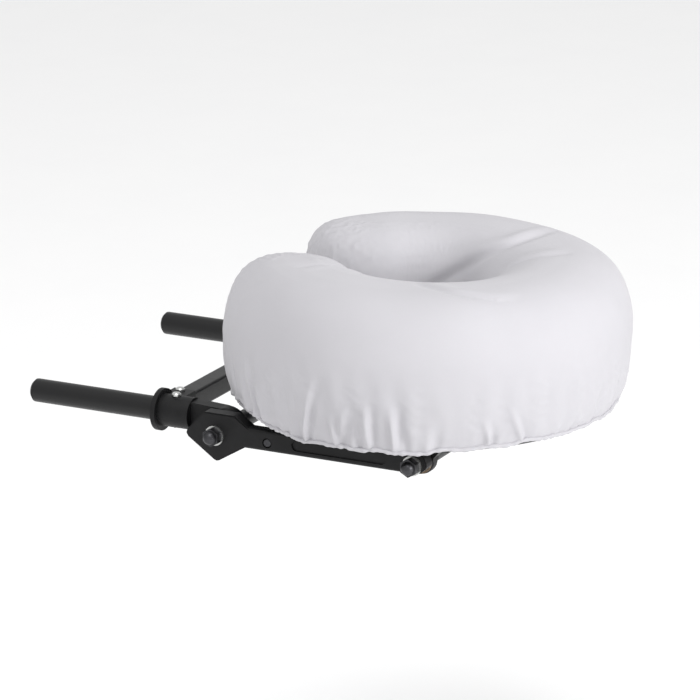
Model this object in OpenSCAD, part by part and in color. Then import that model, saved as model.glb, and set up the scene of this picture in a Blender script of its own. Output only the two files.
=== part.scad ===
// Face cradle for a massage table: a horseshoe cushion in a fitted cover, on a
// platform that two hinged arms carry. Two posts plug into the table's end rail.
// Frame: +Y points into the table, +Z up, millimetres. The origin lies midway
// between the two post axes, in the plane where the posts enter the rail.

/* [Cushion] */
// Radius of the foam band's centreline round the forehead
forehead_r = 111.5; // [106:0.5:116]
// Half the distance between the centres of the two rounded tips
tip_x = 76; // [70:1:84]
// Distance from the forehead's centre back to the tips' centres
tip_reach = 78.5; // [70:0.5:84]
// Half the width of the bare foam band
foam_half_w = 47.2; // [44:0.1:49]
// Height of the firm lower foam
support_foam_h = 48; // [40:1:60]
// Height of the soft upper foam
memory_foam_h = 47; // [41:1:50]
// Thickness of the sewn upholstery
upholstery_t = 1.5; // [1:0.5:2]

/* [Fitted cover] */
// Thickness of the cover cloth with its air gap
cover_t = 2.5; // [2:0.5:4]
// Width of the elastic that runs in the hem
elastic_w = 4; // [3:0.5:5]

/* [Platform] */
// Half the width of the platform's horseshoe band
board_half_w = 37; // [33:0.5:38]
// Thickness of the platform
board_t = 12; // [9:1:14]

/* [Arms] */
// Distance between the two hinge axles
arm_length = 172; // [166:1:180]
// Height of the arm's bar
arm_h = 17; // [16:1:18]
// Thickness of an arm
arm_t = 12; // [8:1:14]

/* [Posts] */
// Distance between the two post axes
post_spacing = 216; // [200:1:220]
// Radius of a post
post_r = 9.5; // [8:0.5:10]
// Length of post that enters the table
post_length = 115; // [90:1:150]

/* [Locks] */
// Length of a cam lever from its pin to its tip
lever_length = 62; // [50:1:64]
// Radius of the axle rods
axle_r = 4; // [3:0.5:4.5]

/* [Hidden] */
$fn = 96;

// Places along the table's axis and in height
forehead_y = -180;
height_axle_y = -60;
tilt_axle_y = height_axle_y - arm_length;
axle_z = -8;
board_z = 6;
board_top = board_z + board_t;
hook_t = 1.4;
gap = 0.2;
cushion_z = board_top + hook_t + gap / 2;
foam_ease = 0.3;
foam_z = cushion_z + upholstery_t + foam_ease;
foam_split_z = foam_z + support_foam_h;
foam_top = foam_split_z + memory_foam_h;

// Plan of the horseshoe: a half circle round the forehead, then two arcs that close in
arc_in = forehead_r - tip_x;
arm_arc_r = (tip_reach * tip_reach + arc_in * arc_in) / (2 * arc_in);
arm_arc_x = forehead_r - arm_arc_r;
arm_arc_deg = atan2(tip_reach, arm_arc_r - arc_in);
tip_y = forehead_y + tip_reach;

// Half widths of the nested skins, and the corner radii of their sections
shell_half_w = foam_half_w + foam_ease + upholstery_t;
shell_top = foam_top + foam_ease + upholstery_t;
fabric_clear = 0.5;
panel_gap = 1.2;
cover_half_w = shell_half_w + fabric_clear + cover_t;
cover_top = shell_top + fabric_clear + cover_t;
foam_corner = 30;
soft_facets = 3;
foam_foot = 7;
foam_edge_r = 2;
tip_inset = 0.2;
tip_lap = 0.5;
soft_tip_scale = 0.996;
cushion_mid_z = (foam_z + foam_top) / 2;
hem_half_w = board_half_w + 4;
hem_wall = 1;
hem_play = 6 * gap;
hem_w = elastic_w + hem_play + 2 * hem_wall;
hem_drop = 6;
elastic_t = 1.5;
elastic_z = cushion_z - 3;

// Stations across the cradle, outwards from the middle
post_x = post_spacing / 2;
bracket_t = 12;
bracket_x = post_x + bracket_t / 2;
disc_t = 2;
arm_x = bracket_x + disc_t;
arm_out_x = arm_x + arm_t;
washer_t = 1.6;
washer_r = 8;
follower_t = 4;
cam_r = 8;
cam_lift = 1;
cam_x = arm_out_x + washer_t + follower_t + cam_r + cam_lift + gap / 2;
pin_r = 2.5;
running = 0.05;

// Base bracket
socket_wall = 3.5;
socket_r = post_r + socket_wall;
socket_depth = 28;
spigot_r = post_r - 0.25;
post_screw_y = -15;
flange_r = 17;
flange_t = 4;
crossbar_w = 16;
crossbar_y = -crossbar_w / 2;
crossbar_x = 94.5;
collar_x = 84;
collar_wall = 3;
collar_h = crossbar_w + 2 * collar_wall;
collar_screw_x = collar_x + 5;
screw_r = 2;
head_r = 3.8;
head_h = 2.4;
post_screw_length = 2 * socket_r - 6;
collar_screw_length = 9;

// Post end plug
tube_wall = 2;
plug_t = 3;
plug_stem = 12;

// Arms. The two end plates' corner centres are measured from their axle, as [y, z]
arm_rise = 1.5;
edge_r = 2.5;
plate_corner_r = 4;
knuckle_corners = [[22, -1], [8, 14], [-16, 14], [-30, 4.5], [-26, -2], [-1, -17]];
nose_corners = [[16, -2], [16, 4], [3, 5.5], [-6, 5.5], [-8, 1], [-4, -2.5]];
bracket_r = 18;
tie_r = 6;
tie_y = -106;
bumper_y = -118;
bumper_r = 4.5;

// Platform brackets
ear_r = 11;
ear_t = 10;
plate_t = 4;
plate_x = 80;
plate_y = 24;
plate_screw_x = 89;
plate_screw_y = 17;
spacer_r = 7;
spacer_bore = 4.3;

// ---- Shared shapes ----

// A slab section with rounded corners, centred on x = 0, from z0 to z1
module band_section(half_w, z0, z1, foot_r, top_r) {
    translate([-half_w, z0 + foot_r]) square([2 * half_w, z1 - z0 - foot_r - top_r]);
    translate([-half_w + foot_r, z0]) square([2 * (half_w - foot_r), foot_r]);
    translate([-half_w + top_r, z1 - top_r]) square([2 * (half_w - top_r), top_r]);
    for (side = [-1, 1]) {
        translate([side * (half_w - foot_r), z0 + foot_r]) circle(foot_r);
        translate([side * (half_w - top_r), z1 - top_r]) circle(top_r);
    }
}

// Points round a quarter of a circle, starting at the angle from
function quarter(x, z, r, from) = [
    for (step = [0:soft_facets])
        let (angle = from + 90 * step / soft_facets)
            [x + r * cos(angle), z + r * sin(angle)]
];

// The same slab for soft pieces, its corners in a few flats
module soft_section(half_w, z0, z1, foot_r, top_r) {
    foot_x = half_w - foot_r;
    top_x = half_w - top_r;
    polygon(concat(
        quarter(foot_x, z0 + foot_r, foot_r, -90), quarter(top_x, z1 - top_r, top_r, 0),
        quarter(-top_x, z1 - top_r, top_r, 90), quarter(-foot_x, z0 + foot_r, foot_r, 180)
    ));
}

// Sweeps a section round the horseshoe and rounds off both tips. The tips lap into the
// band's ends and are a hair smaller, about the height mid_z, so that they join cleanly.
module horseshoe(tip_scale = soft_tip_scale, mid_z = cushion_mid_z) {
    translate([0, forehead_y])
        rotate([0, 0, 180])
            rotate_extrude(angle = 180) translate([forehead_r, 0]) children();
    for (side = [0, 1])
        mirror([side, 0, 0]) {
            translate([arm_arc_x, forehead_y])
                rotate_extrude(angle = arm_arc_deg) translate([arm_arc_r, 0]) children();
            translate([tip_x, tip_y])
                rotate([0, 0, arm_arc_deg])
                    translate([0, -tip_lap, 0])
                        rotate_extrude(angle = 180)
                            intersection() {
                                translate([-tip_inset, mid_z])
                                    scale(tip_scale) translate([0, -mid_z]) children();
                                translate([0, -200]) square([200, 400]);
                            }
        }
}

// Plan of an arc-shaped strip of that half width, from one angle to another
module arc_strip(radius, half_w, from, to) {
    reach = 2 * radius + 2 * half_w;
    intersection() {
        difference() {
            circle(radius + half_w);
            circle(radius - half_w);
        }
        polygon([[0, 0], reach * [cos(from), sin(from)], reach * [cos(to), sin(to)]]);
    }
}

// Plan of the whole horseshoe band, with sharp edges
module horseshoe_plan(half_w) {
    translate([0, forehead_y])
        difference() {
            circle(forehead_r + half_w);
            circle(forehead_r - half_w);
            translate([-200, 0]) square([400, 200]);
        }
    for (side = [0, 1])
        mirror([side, 0, 0]) {
            translate([arm_arc_x, forehead_y]) arc_strip(arm_arc_r, half_w, 0, arm_arc_deg);
            translate([tip_x, tip_y]) circle(half_w);
        }
}

// Plan of a convex outline with blunted corners, their centres given counter-clockwise
module blunt_plan(corners, r) {
    count = len(corners);
    edges = [for (i = [0:count - 1]) corners[(i + 1) % count] - corners[i]];
    normals = [for (edge = edges) [edge.y, -edge.x] / norm(edge)];
    polygon([
        for (i = [0:count - 1])
            let (before = normals[(i + count - 1) % count], after = normals[i], middle = before + after)
                for (n = [before, middle / norm(middle), after]) corners[i] + r * n
    ]);
}

// A rod along X from x0 to x1 through the given Y and Z
module rod_x(x0, x1, y, z, r) {
    translate([x0, y, z]) rotate([0, 90, 0]) cylinder(h = x1 - x0, r = r);
}

// A disc along X with its rim rounded
module knuckle_x(x0, x1, y, z, r) {
    w = x1 - x0;
    translate([x0, y, z])
        rotate([0, 90, 0])
            rotate_extrude() {
                square([r - edge_r, w]);
                translate([0, edge_r]) square([r, w - 2 * edge_r]);
                for (h = [edge_r, w - edge_r]) translate([r - edge_r, h]) circle(edge_r);
            }
}

// A washer along X, outside x0
module washer_x(x0, thickness, y, r) {
    difference() {
        rod_x(x0, x0 + thickness, y, axle_z, r);
        rod_x(x0 - 1, x0 + thickness + 1, y, axle_z, axle_r + gap);
    }
}

// A pan-head screw along -Z whose head sits on z = 0
module pan_screw(length) {
    translate([0, 0, -length]) cylinder(h = length, r = screw_r);
    cylinder(h = head_h - 1, r = head_r);
    translate([0, 0, head_h - 1]) cylinder(h = 1, r1 = head_r, r2 = head_r - 1);
}

// The hole that a pan-head screw needs
module screw_hole(length) {
    translate([0, 0, -length - gap]) cylinder(h = length + 1, r = screw_r + running);
}

// ---- Posts and base ----

module post(side) {
    color("silver")
        difference() {
            translate([side * post_x, 0, 0])
                rotate([-90, 0, 0])
                    difference() {
                        union() {
                            cylinder(h = post_length - plug_t, r = post_r);
                            translate([0, 0, gap - socket_depth]) cylinder(h = socket_depth, r = spigot_r);
                        }
                        translate([0, 0, -socket_depth])
                            cylinder(h = socket_depth + post_length, r = post_r - tube_wall);
                    }
            translate([side * post_x, post_screw_y, socket_r]) screw_hole(post_screw_length);
        }
}

module post_end_plugs() {
    plug_r = post_r - gap;
    color("black")
        for (side = [-1, 1])
            translate([side * post_x, post_length - plug_t, 0])
                rotate([-90, 0, 0])
                    rotate_extrude() {
                        polygon([[0, 0], [plug_r, 0], [plug_r, 1], [plug_r - 2, plug_t], [0, plug_t]]);
                        translate([0, -plug_stem]) square([post_r - tube_wall - 0.1, plug_stem]);
                    }
}

// Square bar along X, its corners rounded
module square_bar(half_length, w, r) {
    translate([-half_length, 0, 0])
        rotate([90, 0, 90])
            linear_extrude(2 * half_length) {
                square([w, w - 2 * r], center = true);
                square([w - 2 * r, w], center = true);
                for (y = [-1, 1], z = [-1, 1]) translate([y, z] * (w / 2 - r)) circle(r);
            }
}

module base_bracket() {
    color("black")
        difference() {
            union() {
                knuckle_x(post_x - bracket_t / 2, bracket_x, height_axle_y, axle_z, bracket_r);
                translate([post_x - bracket_t / 2, 0, 0])
                    rotate([90, 0, 90])
                        linear_extrude(bracket_t)
                            polygon([
                                [height_axle_y, axle_z + bracket_r - 0.5], [-16, socket_r - 1],
                                [-16, 1 - socket_r], [-27, -10], [height_axle_y + 6, axle_z - 16.5]
                            ]);
                translate([post_x, -socket_depth - 3, 0])
                    rotate([-90, 0, 0]) cylinder(h = socket_depth + 3, r = socket_r);
                translate([post_x, -flange_t, 0])
                    rotate([-90, 0, 0]) cylinder(h = flange_t, r = flange_r);
                translate([collar_x, -crossbar_w - collar_wall, -collar_h / 2])
                    cube([post_x - 8 - collar_x, crossbar_w + collar_wall, collar_h]);
            }
            translate([post_x, -socket_depth, 0])
                rotate([-90, 0, 0]) cylinder(h = socket_depth + 1, r = spigot_r + running);
            translate([0, -crossbar_w - running, -crossbar_w / 2 - running])
                cube([crossbar_x + gap, crossbar_w + 1, crossbar_w + 2 * running]);
            rod_x(post_x - bracket_t, bracket_x + 1, height_axle_y, axle_z, axle_r + running);
            translate([post_x, post_screw_y, socket_r]) screw_hole(post_screw_length);
            translate([collar_screw_x, crossbar_y, collar_h / 2]) screw_hole(collar_screw_length);
        }
}

module base_crossbar() {
    color("dimgray")
        difference() {
            translate([0, crossbar_y, 0]) square_bar(crossbar_x, crossbar_w, 2);
            translate([0, crossbar_y, 0]) square_bar(crossbar_x + 1, crossbar_w - 2 * tube_wall, 1);
            for (side = [-1, 1])
                translate([side * collar_screw_x, crossbar_y, collar_h / 2])
                    screw_hole(collar_screw_length);
        }
}

module base_bracket_screws() {
    color("gray")
        for (side = [-1, 1]) {
            translate([side * post_x, post_screw_y, socket_r]) pan_screw(post_screw_length);
            translate([side * collar_screw_x, crossbar_y, collar_h / 2]) pan_screw(collar_screw_length);
        }
}

// ---- Clamped axles, the same at both hinges ----

// Threaded rod from the dome nut to the cam pin's eye
module axle(y, pin_dir) {
    color("silver")
        difference() {
            rod_x(-arm_out_x - washer_t - 7, cam_x + axle_r, y, axle_z, axle_r);
            translate([cam_x, y, axle_z]) rotate(pin_dir) translate([0, 0, -10])
                cylinder(h = 20, r = pin_r + running);
        }
}

module dome_nut(y) {
    nut_x = -arm_out_x - washer_t;
    color("gray")
        difference() {
            union() {
                translate([nut_x, y, axle_z]) rotate([0, -90, 0]) cylinder(h = 6.5, r = 7.5, $fn = 6);
                translate([nut_x - 6.5, y, axle_z]) sphere(5.5);
            }
            rod_x(nut_x - 7 - gap, nut_x + 1, y, axle_z, axle_r + 0.1);
            rod_x(nut_x, nut_x + 8, y, axle_z, washer_r);
        }
}

module axle_washers(y) {
    color("silver") {
        washer_x(arm_out_x, washer_t, y, washer_r);
        washer_x(arm_out_x + washer_t, follower_t, y, washer_r);
        washer_x(-arm_out_x - washer_t, washer_t, y, washer_r);
    }
}

module friction_discs(y, r) {
    color("saddlebrown")
        for (x = [bracket_x + running, -arm_x + running]) washer_x(x, disc_t - 2 * running, y, r);
}

// Tube that keeps the two inner hinge plates apart round an axle
module spacer_tube(half_length, y) {
    color("gray")
        difference() {
            rod_x(-half_length, half_length, y, axle_z, spacer_r);
            rod_x(-half_length - 1, half_length + 1, y, axle_z, spacer_bore);
        }
}

// Lever with two cam cheeks. The pin lies along Y at the origin, the handle hangs down
module cam_lever() {
    cheek_w = 18;
    handle_w = 16;
    handle_t = 6;
    lean = 6;
    color("black")
        difference() {
            union() {
                translate([-cam_lift, cheek_w / 2, 0]) rotate([90, 0, 0]) cylinder(h = cheek_w, r = cam_r);
                rotate([0, -lean, 0]) {
                    translate([-handle_t / 2 + 3, -handle_w / 2, -lever_length + handle_w / 2])
                        cube([handle_t, handle_w, lever_length - handle_w / 2]);
                    translate([-handle_t / 2 + 3, 0, -lever_length + handle_w / 2])
                        rotate([0, 90, 0]) cylinder(h = handle_t, r = handle_w / 2);
                    for (rib = [0:3])
                        translate([handle_t / 2 + 3, -handle_w / 2 + 3, -lever_length + 12 + 5 * rib])
                            rotate([-90, 0, 0]) cylinder(h = handle_w - 6, r = 1);
                }
            }
            translate([0, 15, 0]) rotate([90, 0, 0]) cylinder(h = 30, r = pin_r + running);
            translate([-20, -axle_r - 0.6, -8.5]) cube([40, 2 * axle_r + 1.2, 30]);
        }
}

module cam_pin(y, pin_dir) {
    color("silver")
        translate([cam_x, y, axle_z]) rotate(pin_dir) translate([0, 0, -8.5])
            cylinder(h = 17, r = pin_r);
}

// ---- Arms ----

// Outline plate at an axle, stepped in along both faces' edges
module arm_plate(y, corners) {
    step = 1;
    translate([arm_x, y, axle_z])
        rotate([90, 0, 90]) {
            linear_extrude(arm_t) blunt_plan(corners, plate_corner_r - step);
            translate([0, 0, step]) linear_extrude(arm_t - 2 * step) blunt_plan(corners, plate_corner_r);
        }
}

module arm() {
    color("black")
        difference() {
            union() {
                arm_plate(height_axle_y, knuckle_corners);
                arm_plate(tilt_axle_y, nose_corners);
                translate([arm_x, height_axle_y, axle_z + arm_rise - arm_h / 2])
                    rotate([90, 0, 0])
                        linear_extrude(arm_length)
                            translate([arm_t / 2, 0])
                                band_section(arm_t / 2, 0, arm_h, edge_r, edge_r);
            }
            for (y = [height_axle_y, tilt_axle_y])
                rod_x(arm_x - 1, arm_out_x + 1, y, axle_z, axle_r + running);
            rod_x(arm_x - 1, arm_x + 4, tie_y, axle_z, tie_r + 0.1);
            rod_x(arm_x + 1, arm_out_x + 1, tie_y, axle_z, screw_r + running);
            rod_x(arm_out_x - head_h - gap, arm_out_x + 1, tie_y, axle_z, head_r + gap);
            translate([arm_x + arm_t / 2, bumper_y, axle_z + arm_rise + arm_h / 2 - 2])
                cylinder(h = 10, r = bumper_r + 0.1);
            arm_pocket();
        }
}

// Long shallow panel in the arm's outer face
module arm_pocket() {
    pocket_r = 4.5;
    pocket_d = 1.2;
    y0 = bumper_y - 14;
    y1 = tilt_axle_y + 27;
    z = axle_z + arm_rise;
    for (y = [y0, y1]) rod_x(arm_out_x - pocket_d, arm_out_x + 1, y, z, pocket_r);
    translate([arm_out_x - pocket_d, y1, z - pocket_r]) cube([pocket_d + 1, y0 - y1, 2 * pocket_r]);
}

module arm_tie_tube() {
    color("dimgray")
        difference() {
            rod_x(-arm_x - 4 + gap, arm_x + 4 - gap, tie_y, axle_z, tie_r);
            rod_x(-arm_x - 5, arm_x + 5, tie_y, axle_z, screw_r + running);
        }
}

module arm_tie_screws() {
    color("gray")
        for (side = [-1, 1])
            translate([side * (arm_out_x - head_h), tie_y, axle_z])
                rotate([0, side * 90, 0]) pan_screw(22);
}

module arm_bumpers() {
    bumper_z = axle_z + arm_rise + arm_h / 2 - 2;
    color("dimgray")
        for (side = [-1, 1])
            translate([side * (arm_x + arm_t / 2), bumper_y, bumper_z])
                cylinder(h = board_z - gap - bumper_z, r = bumper_r);
}

// ---- Platform ----

module platform_board() {
    color("black")
        difference() {
            horseshoe(tip_scale = 1) band_section(board_half_w, board_z, board_top, edge_r, edge_r);
            for (side = [-1, 1], dy = [-1, 1])
                translate([side * plate_screw_x, tilt_axle_y + dy * plate_screw_y, board_z - plate_t])
                    rotate([180, 0, 0]) screw_hole(plate_t + 9);
        }
}

module platform_bracket() {
    color("black")
        difference() {
            union() {
                knuckle_x(bracket_x - ear_t, bracket_x, tilt_axle_y, axle_z, ear_r);
                translate([bracket_x - ear_t, tilt_axle_y - ear_r, axle_z])
                    cube([ear_t, 2 * ear_r, board_z - axle_z]);
                translate([plate_x, tilt_axle_y - plate_y, board_z - plate_t])
                    cube([bracket_x - plate_x, 2 * plate_y, plate_t]);
                for (dy = [-1, 1])
                    translate([bracket_x - ear_t, tilt_axle_y + dy * (ear_r - 1), board_z - plate_t])
                        rotate([90, 0, 90])
                            linear_extrude(ear_t)
                                polygon([[0, 0], [dy * 7, 0], [0, -8]]);
            }
            rod_x(bracket_x - ear_t - 1, bracket_x + 1, tilt_axle_y, axle_z, axle_r + running);
            for (dy = [-1, 1])
                translate([plate_screw_x, tilt_axle_y + dy * plate_screw_y, board_z - plate_t])
                    rotate([180, 0, 0]) screw_hole(plate_t + 1);
        }
}

module platform_bracket_screws() {
    color("gray")
        for (side = [-1, 1], dy = [-1, 1])
            translate([side * plate_screw_x, tilt_axle_y + dy * plate_screw_y, board_z - plate_t])
                rotate([180, 0, 0]) pan_screw(plate_t + 8);
}

// Hook strips stuck on the platform's top, one round the forehead and two on each side
module hook_strips() {
    strip_half_w = 12;
    color("dimgray")
        translate([0, 0, board_top])
            linear_extrude(hook_t) {
                translate([0, forehead_y]) arc_strip(forehead_r, strip_half_w, 232, 308);
                for (side = [0, 1])
                    mirror([side, 0]) {
                        translate([0, forehead_y]) arc_strip(forehead_r, strip_half_w, 318, 352);
                        translate([arm_arc_x, forehead_y]) arc_strip(arm_arc_r, strip_half_w, 8, 44);
                    }
            }
}

// ---- Cushion ----

module support_foam() {
    color("lightyellow")
        horseshoe() soft_section(foam_half_w, foam_z, foam_split_z, foam_foot, foam_edge_r);
}

module memory_foam() {
    color("khaki")
        horseshoe() soft_section(foam_half_w, foam_split_z, foam_top, foam_edge_r, foam_corner);
}

module loop_base_panel() {
    color("dimgray")
        translate([0, 0, cushion_z]) linear_extrude(upholstery_t) horseshoe_plan(board_half_w);
}

// Section of a skin of thickness t round a slab, open below between -open_w and open_w
module skin_section(half_w, z0, z1, foot_r, top_r, t, open_w) {
    difference() {
        soft_section(half_w, z0, z1, foot_r, top_r);
        soft_section(half_w - t, z0 + t, z1 - t, foot_r - t, top_r - t);
        translate([-open_w, z0 - 1]) square([2 * open_w, t + 10]);
    }
}

// Sewn skin over the top and sides, open below where the loop panel is let in
module upholstery() {
    skin = upholstery_t;
    color("dimgray")
        horseshoe()
            skin_section(shell_half_w, cushion_z, shell_top, foam_foot + skin,
                foam_corner + skin, skin, board_half_w + panel_gap);
}

// Ring that follows the hem, all the way round the horseshoe's outline
module hem_ring(half_w, width, z0, z1) {
    translate([0, 0, z0])
        linear_extrude(z1 - z0)
            difference() {
                horseshoe_plan(half_w + width);
                horseshoe_plan(half_w);
            }
}

module fitted_cover() {
    grow = upholstery_t + fabric_clear + cover_t;
    channel = hem_half_w + hem_wall;
    channel_w = elastic_w + hem_play;
    hem_z = cushion_z - hem_drop;
    color("lavender")
        horseshoe()
            difference() {
                union() {
                    skin_section(cover_half_w, cushion_z - gap - cover_t, cover_top,
                        foam_foot + grow, foam_corner + grow, cover_t, hem_half_w);
                    for (x = [-hem_half_w - hem_w, hem_half_w])
                        translate([x, hem_z]) square([hem_w, hem_drop - cover_t / 2]);
                }
                for (x = [-channel - channel_w, channel])
                    translate([x, elastic_z - elastic_t - 2 * gap])
                        square([channel_w, elastic_t + 3 * gap]);
            }
}

module hem_elastic() {
    color("white")
        hem_ring(hem_half_w + hem_wall + gap, elastic_w, elastic_z - elastic_t, elastic_z);
}

// ---- Nodes ----

post(-1);  // left_post
post(1);  // right_post
post_end_plugs();
mirror([1, 0, 0]) base_bracket();  // left_base_bracket
base_bracket();  // right_base_bracket
base_crossbar();
base_bracket_screws();
axle(height_axle_y, [90, 0, 0]);  // height_axle
spacer_tube(post_x - bracket_t / 2, height_axle_y);  // height_spacer_tube
friction_discs(height_axle_y, bracket_r - 3);  // height_friction_discs
dome_nut(height_axle_y);  // height_axle_nut
axle_washers(height_axle_y);  // height_axle_washers
cam_pin(height_axle_y, [90, 0, 0]);  // height_cam_pin
translate([cam_x, height_axle_y, axle_z]) cam_lever();  // height_cam_lever
mirror([1, 0, 0]) arm();  // left_arm
arm();  // right_arm
arm_tie_tube();
arm_tie_screws();
arm_bumpers();
axle(tilt_axle_y, [0, 0, 0]);  // tilt_axle
dome_nut(tilt_axle_y);  // tilt_axle_nut
axle_washers(tilt_axle_y);  // tilt_axle_washers
friction_discs(tilt_axle_y, ear_r - 1);  // tilt_friction_discs
cam_pin(tilt_axle_y, [0, 0, 0]);  // tilt_cam_pin
translate([cam_x, tilt_axle_y, axle_z]) rotate([90, 0, 0]) cam_lever();  // tilt_cam_lever
platform_board();
mirror([1, 0, 0]) platform_bracket();  // left_platform_bracket
platform_bracket();  // right_platform_bracket
platform_bracket_screws();
spacer_tube(bracket_x - ear_t, tilt_axle_y);  // tilt_spacer_tube
hook_strips();
loop_base_panel();
support_foam();
memory_foam();
upholstery();
fitted_cover();
hem_elastic();
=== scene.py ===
"""Looks of the face cradle: the gathered cover and the soft pieces under it, materials, light and camera.

Units are metres, in the frame's axes: +Y points into the table, +Z up.
"""

import copy
import math

import bmesh
import bpy
import numpy as np
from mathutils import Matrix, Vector


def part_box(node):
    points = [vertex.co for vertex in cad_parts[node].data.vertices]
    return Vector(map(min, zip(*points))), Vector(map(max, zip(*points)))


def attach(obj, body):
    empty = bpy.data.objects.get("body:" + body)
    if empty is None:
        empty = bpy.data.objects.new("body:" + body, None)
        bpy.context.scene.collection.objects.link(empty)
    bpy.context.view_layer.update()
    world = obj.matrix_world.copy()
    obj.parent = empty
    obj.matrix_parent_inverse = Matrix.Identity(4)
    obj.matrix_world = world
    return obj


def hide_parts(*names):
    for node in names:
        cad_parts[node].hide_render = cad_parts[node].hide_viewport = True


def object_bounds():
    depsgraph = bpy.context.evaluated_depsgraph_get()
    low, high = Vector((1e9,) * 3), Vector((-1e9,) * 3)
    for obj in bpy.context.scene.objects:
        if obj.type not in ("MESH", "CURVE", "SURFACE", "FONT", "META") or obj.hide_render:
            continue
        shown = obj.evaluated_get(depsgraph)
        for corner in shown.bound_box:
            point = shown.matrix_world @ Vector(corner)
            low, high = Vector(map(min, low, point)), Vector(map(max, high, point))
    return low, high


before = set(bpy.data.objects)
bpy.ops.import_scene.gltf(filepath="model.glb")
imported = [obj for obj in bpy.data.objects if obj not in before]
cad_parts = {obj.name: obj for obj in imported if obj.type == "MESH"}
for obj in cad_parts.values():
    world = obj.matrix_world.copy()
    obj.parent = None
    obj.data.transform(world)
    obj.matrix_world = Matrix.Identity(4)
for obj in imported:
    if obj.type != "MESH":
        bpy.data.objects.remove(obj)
cad_low, cad_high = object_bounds()
MM = 0.001

# ---- Plan of the horseshoe, worked out from the foam's box ----

foam_low, foam_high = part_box("support_foam")
# Half the width of the foam's band, and where the tips' centres lie
FOAM_HALF_W = 47.2 * MM
TIP_X = 76 * MM
HEAD_R = foam_high.x - FOAM_HALF_W
HEAD_Y = foam_low.y + foam_high.x
TIP_REACH = 78.5 * MM
# The arms' arc meets the forehead's half circle without a corner and passes through the tip's centre
ARC_IN = HEAD_R - TIP_X
ARM_R = (TIP_REACH**2 + ARC_IN**2) / (2 * ARC_IN)
ARM_X = HEAD_R - ARM_R
ARM_TURN = math.atan2(TIP_REACH, ARM_R - ARC_IN)


def smooth(low, high, x):
    """0 below low, 1 above high, and a smooth step between."""
    t = np.clip((np.asarray(x, float) - low) / (high - low), 0, 1)
    return t * t * (3 - 2 * t)


class Plan:
    """Stations round the band's outline, each with a foot on the centreline and a direction away from it.

    They run round the right tip, down the outer side, round the left tip and back up the inner side.
    at is the arc length at the outline, and inner is 0 on the outer side and 1 on the hole's side.
    """

    def __init__(self, step, half_w):
        def split(length):
            return max(6, round(length / step))

        tip_n = split(math.pi * half_w)
        arm_n = split(ARM_TURN * (ARM_R + half_w))
        head_n = split(math.pi * (HEAD_R + half_w))
        pi, turn = math.pi, ARM_TURN
        right, left, head = (ARM_X, ARM_R), (-ARM_X, ARM_R), (0.0, HEAD_R)
        # Each run's arc, first and last angle and stations. Then the first and last angle of out, or None
        # and the side that it faces.
        runs = (
            (right, turn, turn, tip_n, turn + pi, turn),
            (right, turn, 0.0, arm_n, None, 1),
            (head, 0.0, -pi, head_n, None, 1),
            (left, -pi, -pi - turn, arm_n, None, 1),
            (left, pi - turn, pi - turn, tip_n, pi - turn, -turn),
            (left, -pi - turn, -pi, arm_n, None, -1),
            (head, -pi, 0.0, head_n, None, -1),
            (right, 0.0, turn, arm_n, None, -1),
        )
        feet, out = [], []
        for (x, r), first, last, count, turn_from, facing in runs:
            for k in range(count):
                share = k / count
                angle = first + (last - first) * share
                feet.append((x + r * math.cos(angle), HEAD_Y + r * math.sin(angle)))
                if turn_from is None:
                    out.append((facing * math.cos(angle), facing * math.sin(angle)))
                else:
                    angle = turn_from + (facing - turn_from) * share
                    out.append((math.cos(angle), math.sin(angle)))
        self.feet, self.out = np.array(feet), np.array(out)
        self.count = len(feet)
        side_n = 2 * arm_n + head_n
        fade = smooth(0, 1, np.arange(tip_n) / tip_n)
        self.inner = np.concatenate([1 - fade, np.zeros(side_n), fade, np.ones(side_n)])
        self.tip_n, self.side_n = tip_n, side_n
        edge = self.feet + self.out * half_w
        gaps = np.linalg.norm(np.roll(edge, -1, axis=0) - edge, axis=1)
        self.length = gaps.sum()
        self.at = np.concatenate([[0], np.cumsum(gaps)[:-1]])

    def finer(self, times):
        """The same outline with that many stations for each one."""
        fine = copy.copy(self)
        fine.count, fine.tip_n, fine.side_n = times * self.count, times * self.tip_n, times * self.side_n
        share = np.arange(times) / times
        for name in ("feet", "out", "inner"):
            here = getattr(self, name)
            step = np.roll(here, -1, axis=0) - here
            between = np.stack([here + part * step for part in share], axis=1)
            setattr(fine, name, between.reshape(fine.count, *here.shape[1:]))
        step = np.append(self.at[1:], self.length) - self.at
        fine.at = (self.at[:, None] + share * step[:, None]).ravel()
        return fine

    def spine(self):
        """For each station, the number of its point on the shared centreline, and that line's points."""
        number = np.zeros(self.count, int)
        outer = self.tip_n + np.arange(self.side_n + 1)
        inner = 2 * self.tip_n + self.side_n + np.arange(self.side_n)
        number[outer % self.count] = np.arange(self.side_n + 1)
        number[self.tip_n + self.side_n : 2 * self.tip_n + self.side_n] = self.side_n
        number[inner] = self.side_n - np.arange(self.side_n)
        return number, self.feet[outer % self.count]


def resample(points, count):
    """count + 1 points spaced evenly along an open line, and how far along it each lies."""
    points = np.asarray(points, float)
    at = np.concatenate([[0], np.cumsum(np.linalg.norm(np.diff(points, axis=0), axis=1))])
    want = np.linspace(0, at[-1], count + 1)
    return np.stack([np.interp(want, at, points[:, k]) for k in range(2)], axis=1), want


def swell(half_w, foot_w, low, high, power):
    """Half a section of the stuffed band, from its foot to its crown, as [offset, height].

    It is elliptical below its widest line, and fuller above it for a higher power.
    """
    foot_angle = math.acos(foot_w / half_w)
    drop = (WIDEST_Z - low) / math.sin(foot_angle)
    under = [(half_w * math.cos(a), WIDEST_Z - drop * math.sin(a)) for a in np.linspace(foot_angle, 0, 50)]
    over = [
        (half_w * math.cos(a) ** (2 / power), WIDEST_Z + (high - WIDEST_Z) * math.sin(a) ** (2 / power))
        for a in np.linspace(0, math.pi / 2, 120)[1:-1]
    ]
    return np.array(under + over + [(0.0, high)])


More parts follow.
